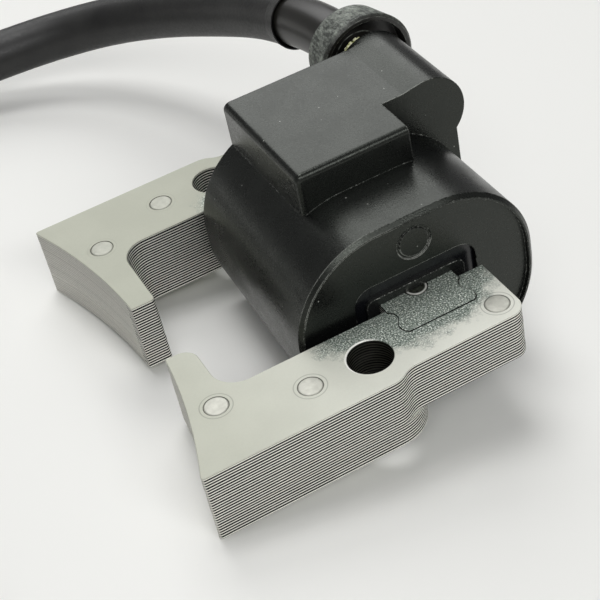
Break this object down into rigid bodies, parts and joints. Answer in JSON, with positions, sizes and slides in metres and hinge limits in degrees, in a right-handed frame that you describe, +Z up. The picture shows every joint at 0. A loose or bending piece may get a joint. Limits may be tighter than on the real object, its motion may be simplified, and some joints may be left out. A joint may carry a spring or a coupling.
{
  "type": "ignition coil",
  "caption": "Ignition coil of a small engine: laminated steel core, moulded housing with electronics bay, and high-tension lead with plug cap.",
  "frame": {"origin": "middle of the coil's footprint on the surface it lies on, the free lead and its cap left out", "axes": "+X from the pole tips towards the bridge, +Y from the front arm to the rear arm, +Z up; the core's sheets are tilted about Y because the coil lies on its pole tips and housing"},
  "size_m": [0.1243, 0.1556, 0.0458],
  "materials": {
    "laminated_steel": "satin, stamped sheet edges",
    "bridge_steel": "satin, lightly varnished",
    "rivet_steel": "flush, ground with the sheets",
    "black_nylon": "semi-gloss moulded",
    "black_resin": "cast, glossy",
    "bobbin_plastic": "moulded",
    "enamelled_copper": "enamelled wire",
    "board_laminate": "glass-fibre laminate",
    "component_black": "moulded",
    "component_film": "dipped",
    "resistor_body": "lacquered",
    "tinned_metal": "tinned",
    "brass": "plain",
    "boot_rubber": "dusty matte",
    "lead_insulation": "matte",
    "sleeve_rubber": "matte, slight sheen"
  },
  "bodies": {
    "root": {"front_arm_long_sheets": "laminated_steel", "front_arm_short_sheets": "laminated_steel", "rear_arm_long_sheets": "laminated_steel", "rear_arm_short_sheets": "laminated_steel", "bridge_bar": "bridge_steel", "front_arm_rivets": "rivet_steel", "rear_arm_rivets": "rivet_steel", "bridge_rivets": "rivet_steel", "coil_housing": "black_nylon", "potting_resin": "black_resin", "primary_bobbin": "bobbin_plastic", "primary_winding": "enamelled_copper", "secondary_bobbin": "bobbin_plastic", "secondary_winding": "enamelled_copper", "circuit_board": "board_laminate", "switching_transistor": "component_black", "capacitor": "component_film", "resistors": "resistor_body", "diode": "component_black", "primary_pins": "tinned_metal", "ground_strap": "tinned_metal", "stop_switch_tab": "tinned_metal", "ht_terminal": "brass", "tower_boot": "boot_rubber", "ht_lead_end": "lead_insulation", "lead_sleeve_mouth": "sleeve_rubber", "lead_sleeve": "sleeve_rubber", "plug_cap": "sleeve_rubber", "plug_cap_lead_end": "lead_insulation", "plug_cap_screw": "tinned_metal", "plug_cap_clip": "brass"}
  },
  "joints": []
}
